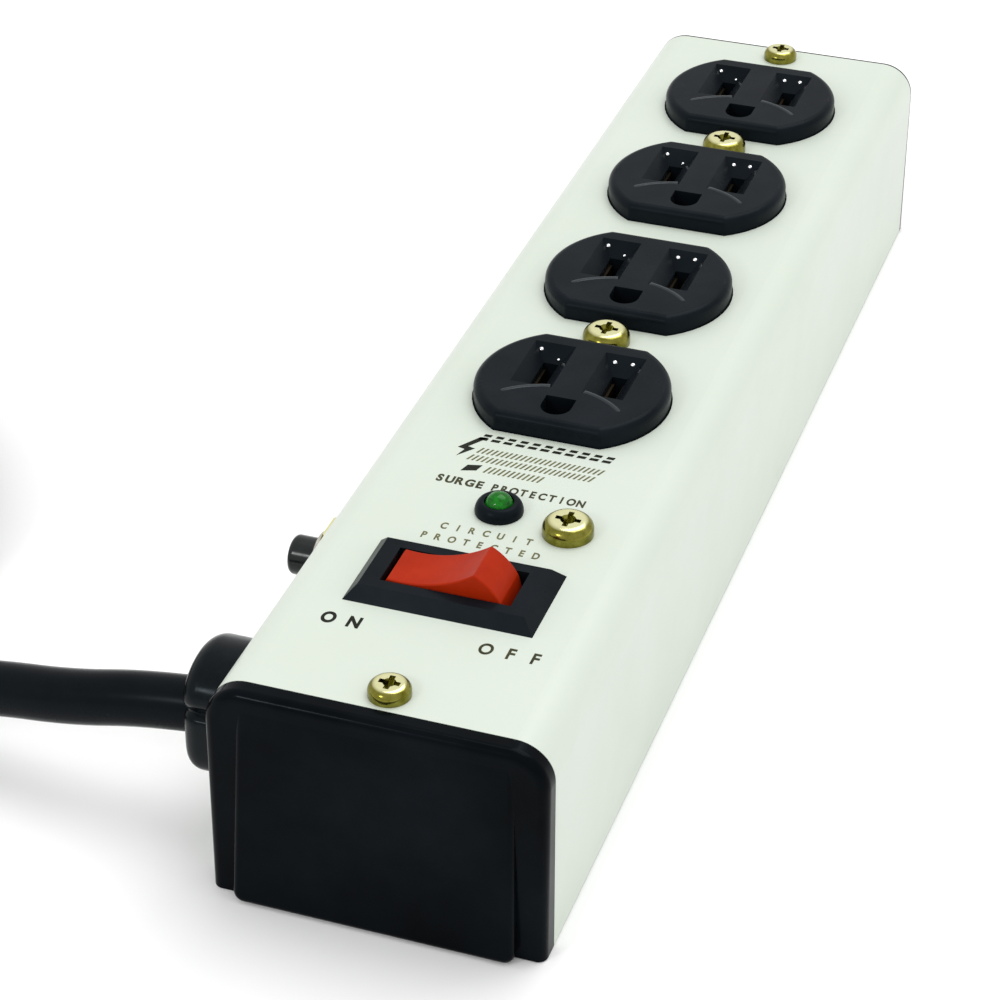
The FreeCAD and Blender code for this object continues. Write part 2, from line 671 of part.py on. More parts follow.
def make_cord_coil():
    """The outer shape of the tied coil."""
    outer = rod(COIL_X, COIL_Y, 0, COIL_R + COIL_HALF_W, COIL_H)
    return outer.cut(rod(COIL_X, COIL_Y, -1, COIL_R - COIL_HALF_W, COIL_H + 2))


def make_cord_tail():
    """The lead's end, from the coil's top turn to the plug."""
    route = [V(*p) for p in TAIL_ROUTE]
    print("tail radii:", [round(r, 1) for r in bend_radii(route)],
          "length", round(route_wire(route).Length, 1))
    return cable(route, CORD_R)


def make_coil_tie():
    """A strap once round the coil's bundle."""
    x0, x1 = COIL_R - COIL_HALF_W - TIE_T, COIL_R + COIL_HALF_W + TIE_T
    band = block(x0, x1, -TIE_W / 2, TIE_W / 2, 0, COIL_H + TIE_T)
    band = band.cut(block(x0 + TIE_T, x1 - TIE_T, -TIE_W, TIE_W, TIE_T, COIL_H))
    band.rotate(V(0, 0, 0), V(0, 0, 1), TIE_ANGLE)
    band.translate(V(COIL_X, COIL_Y, 0))
    return band


def make_plug_body():
    u0, u1 = PLUG_RELIEF - 3, PLUG_RELIEF + PLUG_BODY
    outline = [V(u0, -8.0, -11.5), V(u0 + 9, -10.2, -11.5), V(u0 + 17, -12.5, -11.5), V(u1, -12.5, -11.5)]
    outline += [V(p.x, -p.y, p.z) for p in reversed(outline)]
    body = polygon(outline, V(0, 0, 21))
    body = body.makeFillet(2.6, edges_at(body, lambda p: p.z > 9) + edges_at(body, lambda p: p.z < -11))
    relief = Part.makeCone(CORD_R + 1.2, 7.6, PLUG_RELIEF, V(0, 0, 0), V(1, 0, 0))
    body = join(relief, body)
    for k in range(3):
        u = 3.0 + 5.0 * k
        groove = rod(u, 0, 0, 12, 2.2, V(1, 0, 0))
        groove = groove.cut(rod(u - 1, 0, 0, CORD_R + 0.8 + 0.35 * k, 6, V(1, 0, 0)))
        body = body.cut(groove.common(block(0, 20, -12, 12, -2.2, 2.2)))
    return on_plug(body)


def make_plug_blades():
    """Line and neutral blades, the neutral one wider."""
    u = PLUG_RELIEF + PLUG_BODY
    blades = []
    for side, width in ((-1, 7.9), (1, 6.35)):
        v = side * BLADE_GAP / 2
        blade = block(u, u + 17.5, v - 0.75, v + 0.75, 4 - width / 2, 4 + width / 2)
        tip = edges_at(blade, lambda p: p.x > u + 17)
        blades.append(blade.makeFillet(0.5, tip).cut(rod(u + 12.5, v - 2, 4, 1.6, 4, V(0, 1, 0))))
    return [on_plug(blade) for blade in blades]


def make_plug_ground_pin():
    u = PLUG_RELIEF + PLUG_BODY
    pin = rod(u, 0, 4 - GROUND_DROP, 2.37, 20.0, V(1, 0, 0))
    return on_plug(pin.makeFillet(1.6, edges_at(pin, lambda p: p.x > u + 19)))


# ---- surge board ------------------------------------------------------------------------
BOARD_X = 15.0
BOARD_Y0, BOARD_Y1 = -36.0, 20.0


def board_corners():
    return [(x, y) for x in (-12, 12) for y in (BOARD_Y0 + 4, BOARD_Y1 - 4)]


def make_insulating_sheet():
    sheet = block(-20, 20, BOARD_Y0 - 4, BOARD_Y1 + 4, SHEET + 0.05, SHEET + 0.45)
    for x, y in board_corners():
        sheet = sheet.cut(rod(x, y, 0, 2.6, 4))
    return sheet


def make_board_standoffs():
    return [rod(x, y, SHEET, 2.5, BOARD_Z - SHEET).cut(rod(x, y, SHEET + 0.8, 1.25, 9))
            for x, y in board_corners()]


def make_surge_board():
    board = block(-BOARD_X, BOARD_X, BOARD_Y0, BOARD_Y1, BOARD_Z, BOARD_Z + BOARD_T)
    for x, y in board_corners():
        board = board.cut(rod(x, y, 0, 1.4, 20))
    return board


def make_board_screws():
    top = BOARD_Z + BOARD_T
    return [rod(x, y, top, 2.3, 1.6).fuse(rod(x, y, SHEET + 1.2, 1.2, top - SHEET - 1.2))
            for x, y in board_corners()]


def make_varistors():
    """Three coated discs that lie on the board with their leads bent down to it."""
    top = BOARD_Z + BOARD_T
    discs = []
    for y in (-23.0, -9.0, 5.0):
        disc = rod(-2.5, y, top + 0.6, 6.0, 4.2)
        disc = disc.makeFillet(1.4, [e for e in disc.Edges if e.Curve.TypeId == "Part::GeomCircle"])
        leads = [join(rod(2.5, y + dy, top + 2.4, 0.4, 4.6, V(1, 0, 0)), rod(6.8, y + dy, top, 0.4, 2.6))
                 for dy in (-2.5, 2.5)]
        discs.append(join(disc, *leads))
    return discs


def make_filter_capacitor():
    top = BOARD_Z + BOARD_T
    return round_box(8.6, 14.4, -16, 2, top + 0.1, top + 7.0, 0.8)


def make_thermal_fuse():
    top = BOARD_Z + BOARD_T
    body = rod(-12.2, -12, top + 1.8, 1.6, 10, V(0, 1, 0))
    lead = rod(-12.2, -16, top + 1.8, 0.4, 18, V(0, 1, 0))
    feet = [rod(-12.2, y, top, 0.4, 2.2) for y in (-15.6, 1.6)]
    return join(body, lead, *feet)


# ---- wiring -----------------------------------------------------------------------------
LEAD_END_X = LEFT + 14
LUG_Z = SHEET + 0.8 + 1.9


def make_ground_lug():
    """The ring terminal that the post clamps to the base plate."""
    z = SHEET
    ring = rod(POST_X, POST_Y, z, 4.6, 0.75)
    ring = ring.fuse(block(POST_X - 1.9, POST_X + 1.9, POST_Y - 9, POST_Y, z, z + 0.75))
    barrel = rod(POST_X, POST_Y - 14, LUG_Z, 1.9, 6, V(0, 1, 0))
    barrel = barrel.fuse(block(POST_X - 1.9, POST_X + 1.9, POST_Y - 10, POST_Y - 7.5, z, LUG_Z + 1.2))
    hollow = rod(POST_X, POST_Y - 15, LUG_Z, WIRE_R + 0.05, 4.5, V(0, 1, 0))
    return join(ring, barrel).cut(hollow).cut(rod(POST_X, POST_Y, 0, 2.5, 4))


def wire(*points):
    return cable([V(*p) for p in points], WIRE_R)


def make_line_wire():
    """Line conductor from the lead to the breaker."""
    return wire((LEAD_END_X + 0.2, CORD_Y + 2.4, CORD_Z), (-7.5, CORD_Y + 2.4, CORD_Z), (-4.5, -97.5, 15.0),
                (-9.5, -89.0, 9.5), (-16.5, -80.0, 8.0), (-20.6, -75.0, 9.0), (-20.6, BREAKER_Y - 3.6, 9.6))


def make_switch_feed_wire():
    """Line conductor from the breaker to the switch."""
    return wire((-10.6, BREAKER_Y - 3.6, 9.6), (-9.6, -73.5, 8.6), (-3.0, -79.5, 11.0),
                (0.0, SWITCH_Y + 2.0, 12.6))


def make_switched_wire():
    """Switched conductor from the switch to the front outlets."""
    return wire((8.6, SWITCH_Y + 2.0, 12.6), (10.0, -77.5, 11.0), (19.5, -68.0, 11.0), (21.4, -52.0, 12.0),
                (21.3, -30.0, 15.0), (21.2, -13.0, 20.0), (20.4, -3.4, 24.6))


def make_neutral_wire():
    """Neutral conductor from the lead, under the breaker, to the front outlets."""
    return wire((LEAD_END_X + 0.2, CORD_Y - 1.2, CORD_Z - 2.1), (-8.0, CORD_Y - 1.2, CORD_Z - 2.1),
                (-6.5, -103.0, 11.0), (-10.0, -92.0, 4.6),
                (-15.6, -77.0, 3.6), (-15.7, -57.0, 3.8), (-21.0, -44.0, 8.0), (-21.4, -26.0, 15.0),
                (-21.2, -11.0, 21.0), (-20.4, -3.4, 24.6))


def make_ground_wire():
    """Earth conductor from the lead to the post on the base plate."""
    return wire((LEAD_END_X + 0.2, CORD_Y - 1.2, CORD_Z + 2.1), (-6.0, CORD_Y - 1.2, CORD_Z + 2.1),
                (7.0, -102.0, 12.0), (POST_X, -92.0, LUG_Z + 0.4), (POST_X, POST_Y - 17, LUG_Z),
                (POST_X, POST_Y - 11.2, LUG_Z))


def make_outlet_jumpers():
    """The two links from the front outlets to the rear ones."""
    y0, y1 = DUPLEX_Y[0] + 11.0, DUPLEX_Y[1] + 3.0
    return [wire((side * 20.4, y0, 27.0), (side * 22.2, y0 + 11, 25.0), (side * 21.6, y0 + 30, 23.6),
                 (side * 22.2, y1 - 12, 25.0), (side * 20.4, y1, 27.0)) for side in (-1, 1)]


# ---- all the nodes ----------------------------------------------------------------------
def all_nodes():
    nodes = {
        "housing_shell": make_housing_shell(),
        "base_plate": make_base_plate(),
        "front_end_cap": make_end_cap(FRONT_CAP_OUT),
        "rear_end_cap": turned(make_end_cap(REAR_CAP_OUT)),
        "end_cap_screws": make_end_cap_screws(),
        "outlet_screws": make_outlet_screws(),
        "ground_post": make_ground_post(),
        "ground_post_screw": pan_screw(POST_X, POST_Y, LARGE_HEAD_R, 1.9, 9.0),
        "ground_lug": make_ground_lug(),
        "terminal_screws": make_terminal_screws(),
        "switch_body": make_switch_body(),
        "switch_rocker": make_rocker(),
        "rocker_pins": make_rocker_pins(),
        "switch_plunger": make_switch_plunger(),
        "switch_spring": make_switch_spring(),
        "teeter_contact": make_teeter_contact(),
        "switch_terminals": make_switch_terminals(),
        "lamp_bezel": make_lamp_bezel(),
        "lamp_lens": make_lamp_lens(),
        "lamp_bulb": make_lamp_bulb(),
        "lamp_resistor": make_lamp_resistor(),
        "breaker_body": make_breaker_body(),
        "breaker_bushing": make_breaker_bushing(),
        "breaker_nut": make_breaker_nut(),
        "reset_button": make_reset_button(),
        "breaker_terminals": make_breaker_terminals(),
        "strain_relief": make_strain_relief(),
        "strain_relief_wedge": make_strain_relief_wedge(),
        "cord_lead": make_cord_lead(),
        "cord_coil": make_cord_coil(),
        "cord_tail": make_cord_tail(),
        "coil_tie": make_coil_tie(),
        "plug_body": make_plug_body(),
        "plug_blades": make_plug_blades(),
        "plug_ground_pin": make_plug_ground_pin(),
        "insulating_sheet": make_insulating_sheet(),
        "board_standoffs": make_board_standoffs(),
        "surge_board": make_surge_board(),
        "board_screws": make_board_screws(),
        "varistors": make_varistors(),
        "filter_capacitor": make_filter_capacitor(),
        "thermal_fuse": make_thermal_fuse(),
        "line_wire": make_line_wire(),
        "switch_feed_wire": make_switch_feed_wire(),
        "switched_wire": make_switched_wire(),
        "neutral_wire": make_neutral_wire(),
        "ground_wire": make_ground_wire(),
        "outlet_jumpers": make_outlet_jumpers(),
    }
    for name, middle in zip(("front", "rear"), DUPLEX_Y):
        nodes[f"outlet_cover_{name}"] = make_outlet_cover(middle)
        nodes[f"outlet_base_{name}"] = make_outlet_base(middle)
        nodes[f"outlet_strap_{name}"] = make_outlet_strap(middle)
        nodes[f"neutral_bus_{name}"] = make_blade_bus(middle, -1, 8.6)
        nodes[f"hot_bus_{name}"] = make_blade_bus(middle, 1, 7.2)
        nodes[f"ground_bus_{name}"] = make_ground_bus(middle)
    return nodes


def solids_of(shapes):
    shapes = shapes if isinstance(shapes, list) else [shapes]
    return [solid for shape in shapes for solid in shape.Solids]


def write_parts():
    os.makedirs("parts", exist_ok=True)
    for name, shapes in all_nodes().items():
        solids = solids_of(shapes)
        if not solids or not all(s.isValid() for s in solids):
            raise RuntimeError(f"{name} isn't a valid solid")
        whole = solids[0] if len(solids) == 1 else Part.makeCompound(solids)
        whole.exportStep(f"parts/{name}.step")
        print(f"{name}: {len(solids)} solid(s), {whole.Volume:.0f} mm3")


write_parts()
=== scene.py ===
import json
import math

import bmesh
import bpy
from mathutils import Matrix, Vector


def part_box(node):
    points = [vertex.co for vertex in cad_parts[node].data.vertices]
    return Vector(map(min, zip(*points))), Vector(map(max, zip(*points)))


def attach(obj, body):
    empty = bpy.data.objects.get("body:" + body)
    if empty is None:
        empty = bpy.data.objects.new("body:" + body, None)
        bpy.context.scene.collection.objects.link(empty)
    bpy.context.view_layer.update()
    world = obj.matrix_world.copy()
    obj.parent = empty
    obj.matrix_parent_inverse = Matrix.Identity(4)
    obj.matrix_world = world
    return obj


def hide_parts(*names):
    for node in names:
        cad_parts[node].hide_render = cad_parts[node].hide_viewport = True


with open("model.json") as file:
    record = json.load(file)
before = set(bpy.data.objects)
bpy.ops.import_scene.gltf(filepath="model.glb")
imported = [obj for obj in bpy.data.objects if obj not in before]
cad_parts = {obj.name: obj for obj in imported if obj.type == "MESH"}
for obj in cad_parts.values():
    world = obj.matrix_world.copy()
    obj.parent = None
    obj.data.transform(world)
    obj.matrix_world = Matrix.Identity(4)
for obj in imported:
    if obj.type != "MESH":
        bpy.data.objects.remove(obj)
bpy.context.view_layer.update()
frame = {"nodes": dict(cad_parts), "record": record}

# Lengths are in metres, and bare millimetres pass through mm() or are multiplied by MM.
# +X right, +Y back, +Z up, and the lead leaves the left side.
MM = 0.001
TOP = 38.2 * MM     # the housing's roof
LEFT_MM = -27.2     # the housing's left side


def mm(*values):
    return Vector([v * MM for v in values])


# ---- camera, floor and light -------------------------------------------------------------
CAMERA_AT = (0.12874, -0.43432, 0.30548)
CAMERA_AZIMUTH, CAMERA_ELEVATION, CAMERA_ROLL = 19.181, 34.018, -0.148
CAMERA_LENS, CAMERA_SENSOR = 106.17, 36.0
WORLD_STRENGTH = 0.86
FLOOR_ALBEDO = 0.97
FLOOR_HALF = 4.0
FLOOR_Z = -0.2 * MM


def make_camera():
    azimuth, elevation, roll = map(math.radians, (CAMERA_AZIMUTH, CAMERA_ELEVATION, CAMERA_ROLL))
    back = Vector((math.sin(azimuth) * math.cos(elevation),
                   -math.cos(azimuth) * math.cos(elevation),
                   math.sin(elevation)))
    right = Vector((0, 0, 1)).cross(back).normalized()
    up = back.cross(right)
    across = right * math.cos(roll) + up * math.sin(roll)
    upward = up * math.cos(roll) - right * math.sin(roll)
    data = bpy.data.cameras.new("camera")
    data.lens = CAMERA_LENS
    data.sensor_width = CAMERA_SENSOR
    data.clip_start, data.clip_end = 0.01, 20.0
    camera = bpy.data.objects.new("camera", data)
    bpy.context.scene.collection.objects.link(camera)
    turn = Matrix((across, upward, back)).transposed().to_4x4()
    camera.matrix_world = Matrix.Translation(CAMERA_AT) @ turn
    bpy.context.scene.camera = camera


def make_light(name, at, toward, size, power):
    data = bpy.data.lights.new(name, "AREA")
    data.shape = "RECTANGLE"
    data.size, data.size_y = size
    data.energy = power
    light = bpy.data.objects.new(name, data)
    light.location = at
    light.rotation_euler = (Vector(toward) - Vector(at)).to_track_quat("-Z", "Y").to_euler()
    bpy.context.scene.collection.objects.link(light)


def make_studio():
    scene = bpy.context.scene
    scene.view_settings.view_transform = "Standard"
    world = bpy.data.worlds.new("studio")
    world.use_nodes = True
    world.node_tree.nodes["Background"].inputs["Color"].default_value = (1, 1, 1, 1)
    world.node_tree.nodes["Background"].inputs["Strength"].default_value = WORLD_STRENGTH
    scene.world = world
    make_light("key", (0.28, 0.60, 1.6), (0, 0, 0), (1.3, 1.3), 14.5)
    make_light("glint", (-0.24, -0.52, 0.38), (-0.02, -0.08, 0.02), (0.10, 0.10), 0.5)
    mesh = bpy.data.meshes.new("floor")
    corners = [(x * FLOOR_HALF, y * FLOOR_HALF, 0) for x, y in ((-1, -1), (1, -1), (1, 1), (-1, 1))]
    mesh.from_pydata(corners, [], [(0, 1, 2, 3)])
    floor = bpy.data.objects.new("floor", mesh)
    floor.location.z = FLOOR_Z
    scene.collection.objects.link(floor)
    matter = bpy.data.materials.new("floor")
    matter.use_nodes = True
    shader = matter.node_tree.nodes["Principled BSDF"]
    shader.inputs["Base Color"].default_value = (FLOOR_ALBEDO, FLOOR_ALBEDO, FLOOR_ALBEDO, 1)
    shader.inputs["Roughness"].default_value = 0.9
    mesh.materials.append(matter)


# ---- materials ---------------------------------------------------------------------------
def set_inputs(node, **values):
    for name, value in values.items():
        node.inputs[name.replace("_", " ")].default_value = value


def noise(nodes, links, place, size, detail=3.0, roughness=0.5):
    """A noise whose features are about this many metres across."""
    texture = nodes.new("ShaderNodeTexNoise")
    set_inputs(texture, Scale=1 / size, Detail=detail, Roughness=roughness)
    links.new(place, texture.inputs["Vector"])
    return texture.outputs["Fac"]


def spread(nodes, links, value, low, high, start=0.3, end=0.7):
    """The value, from start to end, mapped to low to high."""
    ranged = nodes.new("ShaderNodeMapRange")
    set_inputs(ranged, From_Min=start, From_Max=end, To_Min=low, To_Max=high)
    links.new(value, ranged.inputs["Value"])
    return ranged.outputs["Result"]


def blend_colours(nodes, links, factor, first, second):
    mix = nodes.new("ShaderNodeMix")
    mix.data_type = "RGBA"
    links.new(factor, mix.inputs["Factor"])
    for socket, colour in ((mix.inputs[6], first), (mix.inputs[7], second)):
        if isinstance(colour, bpy.types.NodeSocket):
            links.new(colour, socket)
        else:
            socket.default_value = (*colour, 1)
    return mix.outputs[2]


def make_material(name, colour, other, rough, grain=0.6 * MM, bump=0.01 * MM, patch=14 * MM,
                  wave=0.0, dust=0.0, upward=None, **shader_values):
    """A surface whose colour drifts between two tones, with patchy gloss, fine grain and optional slow waves.

    The upward colour, if there is one, takes over where the surface faces up: a painted highlight, paler
    colour standing in for light falling on top faces.
    """
    matter = bpy.data.materials.new(name)
    matter.use_nodes = True
    nodes, links = matter.node_tree.nodes, matter.node_tree.links
    shader = nodes["Principled BSDF"]
    place = nodes.new("ShaderNodeTexCoord").outputs["Object"]
    tone = spread(nodes, links, noise(nodes, links, place, patch, 4.0, 0.6), 0, 1)
    colour_out = blend_colours(nodes, links, tone, colour, other)
    if dust:
        specks = spread(nodes, links, noise(nodes, links, place, 0.9 * MM, 6.0, 0.75), 0, dust, 0.6, 0.75)
        colour_out = blend_colours(nodes, links, specks, colour_out, [0.5 + 0.5 * v for v in colour])
    # painted highlight: the upward colour paints top faces paler, standing in for light falling on them
    if upward:
        split = nodes.new("ShaderNodeSeparateXYZ")
        links.new(nodes.new("ShaderNodeTexCoord").outputs["Normal"], split.inputs["Vector"])
        painted_highlight_mask = spread(nodes, links, split.outputs["Z"], 0, 1, 0.86, 1.0)
        colour_out = blend_colours(nodes, links, painted_highlight_mask, colour_out, upward)
    links.new(colour_out, shader.inputs["Base Color"])
    smudge = noise(nodes, links, place, patch * 0.6, 5.0, 0.65)
    links.new(spread(nodes, links, smudge, *rough), shader.inputs["Roughness"])
    height = noise(nodes, links, place, grain, 2.0)
    fine = nodes.new("ShaderNodeBump")
    set_inputs(fine, Strength=1.0, Distance=bump)
    links.new(height, fine.inputs["Height"])
    if wave:
        slow = nodes.new("ShaderNodeBump")
        set_inputs(slow, Strength=1.0, Distance=wave)
        links.new(noise(nodes, links, place, 11 * MM, 1.0, 0.4), slow.inputs["Height"])
        links.new(slow.outputs["Normal"], fine.inputs["Normal"])
    links.new(fine.outputs["Normal"], shader.inputs["Normal"])
    set_inputs(shader, **shader_values)
    return matter


def make_materials():
    black = {"Specular_Tint": (0.78, 0.92, 1.0, 1)}
    m = {}
    m["painted_steel"] = make_material(
        "enamel", (0.590, 0.650, 0.565), (0.615, 0.670, 0.600), (0.32, 0.44), grain=0.9 * MM, bump=0.004 * MM,
        patch=38 * MM, dust=0.10, Specular_IOR_Level=0.35, Coat_Weight=0.12, Coat_Roughness=0.2)
    m["zinc_steel"] = make_material(
        "zinc_plate", (0.50, 0.51, 0.50), (0.62, 0.63, 0.60), (0.28, 0.5), patch=5 * MM, Metallic=1.0)
    # the caps' black is their own, and the slow patches of lighter tone are a painted reflection, standing in
    # for soft reflections on the glossy faces
    m["black_gloss_plastic"] = make_material(
        "gloss_black_painted_sheen", (0.0005, 0.0007, 0.0010), (0.0038, 0.0056, 0.0076), (0.10, 0.22), grain=0.5 * MM,
        bump=0.002 * MM, patch=26 * MM, wave=0.10 * MM, dust=0.003, Specular_IOR_Level=0.045, **black)
    m["black_plastic"] = make_material(
        "satin_black", (0.0040, 0.0060, 0.0080), (0.0070, 0.0100, 0.0130), (0.24, 0.36), grain=0.35 * MM,
        bump=0.004 * MM, patch=9 * MM, dust=0.006, Specular_IOR_Level=0.055, **black)
    m["red_plastic"] = make_material(
        "signal_red", (0.335, 0.017, 0.0020), (0.395, 0.023, 0.0028), (0.34, 0.46), grain=0.4 * MM,
        bump=0.004 * MM, patch=6 * MM, Specular_IOR_Level=0.06)
    # the screws' dark olive tones are partly the chromate's own colour and partly painted shade standing in
    # for dark reflections; the pale upward colour is a painted highlight on their tops
    m["yellow_zinc"] = make_material(
        "yellow_chromate_painted_light", (0.135, 0.125, 0.012), (0.30, 0.28, 0.060), (0.12, 0.26), grain=0.3 * MM,
        bump=0.004 * MM, patch=1.8 * MM, upward=(0.84, 0.82, 0.46), Metallic=1.0)
    m["brass"] = make_material(
        "brass", (0.50, 0.37, 0.14), (0.64, 0.49, 0.22), (0.2, 0.4), patch=4 * MM, Metallic=1.0)
    # the lens's greens are its own and its glow is the lit lamp's; the fine mottle between a dark and a
    # bright green is painted glints, standing in for glints off the lens's inner facets
    m["green_lens"] = make_material(
        "green_lens", (0.0020, 0.045, 0.0030), (0.006, 0.230, 0.008), (0.05, 0.12), patch=0.9 * MM,
        bump=0.05 * MM, grain=0.8 * MM, Specular_IOR_Level=0.18, Coat_Weight=0.08, Coat_Roughness=0.03,
        Emission_Color=(0.01, 0.6, 0.02, 1), Emission_Strength=0.01)
    m["bulb_glass"] = make_material(
        "bulb_glass", (0.9, 0.9, 0.86), (0.95, 0.95, 0.9), (0.03, 0.08), Transmission_Weight=0.9)
    m["nickel"] = make_material(
        "nickel", (0.50, 0.49, 0.42), (0.62, 0.60, 0.54), (0.16, 0.32), patch=3 * MM, Metallic=1.0)
    m["cord_jacket"] = make_material(
        "cord_jacket", (0.0028, 0.0036, 0.0048), (0.0050, 0.0064, 0.0080), (0.20, 0.32), grain=0.7 * MM,
        bump=0.006 * MM, dust=0.006, Specular_IOR_Level=0.06, **black)
    m["natural_nylon"] = make_material("nylon", (0.70, 0.67, 0.58), (0.78, 0.75, 0.66), (0.35, 0.5))
    m["green_board"] = make_material("laminate", (0.02, 0.11, 0.04), (0.03, 0.16, 0.06), (0.25, 0.4))
    m["blue_coating"] = make_material("varistor", (0.02, 0.06, 0.32), (0.03, 0.09, 0.42), (0.3, 0.45))
    m["yellow_case"] = make_material("capacitor", (0.55, 0.38, 0.04), (0.65, 0.46, 0.06), (0.35, 0.5))
    m["grey_fibre"] = make_material(
        "fibre", (0.08, 0.08, 0.075), (0.13, 0.13, 0.12), (0.6, 0.8), grain=0.2 * MM)
    m["black_insulation"] = make_material(
        "black_wire", (0.008, 0.008, 0.008), (0.014, 0.014, 0.014), (0.35, 0.5))
    m["white_insulation"] = make_material("white_wire", (0.62, 0.62, 0.58), (0.72, 0.72, 0.68), (0.35, 0.5))
    m["green_insulation"] = make_material("green_wire", (0.01, 0.13, 0.03), (0.02, 0.19, 0.05), (0.35, 0.5))
    m["brown_phenolic"] = make_material("phenolic", (0.012, 0.008, 0.006), (0.022, 0.014, 0.010), (0.3, 0.5))
    m["resistor_body"] = make_material("resistor", (0.45, 0.32, 0.18), (0.55, 0.40, 0.24), (0.4, 0.55))
    m["ink"] = make_material(
        "ink", (0.003, 0.004, 0.002), (0.011, 0.012, 0.005), (0.4, 0.6), patch=1.2 * MM,
        Specular_IOR_Level=0.15)
    m["olive_ink"] = make_material(
        "olive_ink", (0.060, 0.058, 0.012), (0.15, 0.15, 0.045), (0.4, 0.6), patch=0.8 * MM)
    m["dark_olive_ink"] = make_material(
        "dark_olive_ink", (0.018, 0.018, 0.006), (0.060, 0.060, 0.022), (0.4, 0.6), patch=0.9 * MM,
        Specular_IOR_Level=0.15)
    # the ridge is moulded with the face, and its base lighter than the face's is a painted highlight,
    # standing in for the light the ridge catches
    m["ridge"] = make_material(
        "ridge_black_painted_highlight", (0.008, 0.011, 0.014), (0.012, 0.016, 0.020), (0.2, 0.3), grain=0.35 * MM,
        bump=0.002 * MM, Specular_IOR_Level=0.3, **black)
    m["button"] = make_material(
        "button_black", (0.0060, 0.0080, 0.0080), (0.0100, 0.0130, 0.0130), (0.14, 0.24), grain=0.3 * MM,
        bump=0.003 * MM, patch=3 * MM, Specular_IOR_Level=0.3)
    m["relief"] = make_material(
        "relief_nylon", (0.0016, 0.0024, 0.0030), (0.0036, 0.0052, 0.0066), (0.16, 0.28), grain=0.5 * MM,
        bump=0.006 * MM, patch=3 * MM, dust=0.004, Specular_IOR_Level=0.12, **black)
    m["strap"] = make_material(
        "strap_fabric", (0.0035, 0.0040, 0.0045), (0.0090, 0.0095, 0.0100), (0.75, 0.9), grain=0.45 * MM,
        bump=0.12 * MM, patch=2.5 * MM, dust=0.03, Specular_IOR_Level=0.15, Sheen_Weight=0.3)
    # painted shade: the brass contacts are painted near-black, standing in for the shade inside the outlet
    # slots
    m["contact_painted_shade"] = make_material(
        "contact_black_painted_shade", (0.010, 0.008, 0.005), (0.030, 0.022, 0.012), (0.5, 0.7), patch=3 * MM,
        Metallic=1.0)
    # painted glints: near-white polished metal for the beads that stand in for glints in the outlet windows
    m["polished"] = make_material(
        "painted_glint_beads", (0.86, 0.87, 0.88), (0.95, 0.95, 0.96), (0.05, 0.12), patch=1 * MM, bump=0.001 * MM,
        Metallic=1.0)
    return m


# Nodes whose finish differs from their slot's: the contacts are painted near-black, a painted shade that
# stands in for the shade inside the slots, and the button is shinier.
SPECIAL_FINISH = {
    "reset_button": "button",
    "neutral_bus_front": "contact_painted_shade", "hot_bus_front": "contact_painted_shade", "ground_bus_front": "contact_painted_shade",
    "neutral_bus_rear": "contact_painted_shade", "hot_bus_rear": "contact_painted_shade", "ground_bus_rear": "contact_painted_shade",
}


def finish_cad_nodes():
    """Every carried-over CAD node gets a material: its slot's in the record, or its own."""
    for part in frame["record"]["subparts"]:
        mesh = frame["nodes"][part["node"]].data
        mesh.materials.clear()
        mesh.materials.append(materials[SPECIAL_FINISH.get(part["node"], part["material_slot"])])


# ---- pieces ------------------------------------------------------------------------------
def add_piece(name, bm, material, body="root", smooth=None, replaces=()):
    """A mesh piece from bmesh, riding a body."""
    mesh = bpy.data.meshes.new(name)
    bm.to_mesh(mesh)
    bm.free()
    mesh.materials.append(materials[material])
    piece = bpy.data.objects.new(name, mesh)
    bpy.context.scene.collection.objects.link(piece)
    if smooth is not None:
        mesh.shade_smooth()
        mesh.set_sharp_from_angle(angle=math.radians(smooth))
    if replaces:
        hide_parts(*replaces)
    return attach(piece, body)


def add_tube(bm, rows, closed=False):
    """Joins rings of points with faces, and the last ring to the first if it is closed."""
    rings = [[bm.verts.new(point) for point in row] for row in rows]
    for a, b in zip(rings, rings[1:] + (rings[:1] if closed else [])):
        for k in range(len(a)):
            n = (k + 1) % len(a)
            bm.faces.new((a[k], a[n], b[n], b[k]))
    return rings


def lathe(bm, centre, profile, steps=96):
    """A surface turned round an upright axis: the profile holds radius and height, in millimetres."""
    rows = []
    for radius, height in profile:
        turns = [2 * math.pi * k / steps for k in range(steps)]
        rows.append([Vector(centre) + mm(radius * math.cos(turn), radius * math.sin(turn), height)
                     for turn in turns])
    rings = add_tube(bm, rows)
    bm.faces.new(rings[0])
    bm.faces.new(rings[-1])
    bmesh.ops.recalc_face_normals(bm, faces=bm.faces)


def rounding(radius_from, height_from, radius_to, height_to, steps=8):
    """Profile points on a quarter ellipse that starts upright and ends level."""
    points = []
    for k in range(steps + 1):
        turn = math.pi / 2 * k / steps
        points.append((radius_to + (radius_from - radius_to) * math.cos(turn),
                       height_from + (height_to - height_from) * math.sin(turn)))
    return points


def middle_of(node):
    low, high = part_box(node)
    return (Vector(low) + Vector(high)) / 2


# ---- lettering and printed marks ---------------------------------------------------------
PRINT_Z = TOP + 0.02 * MM
CAP_HEIGHT = 0.729


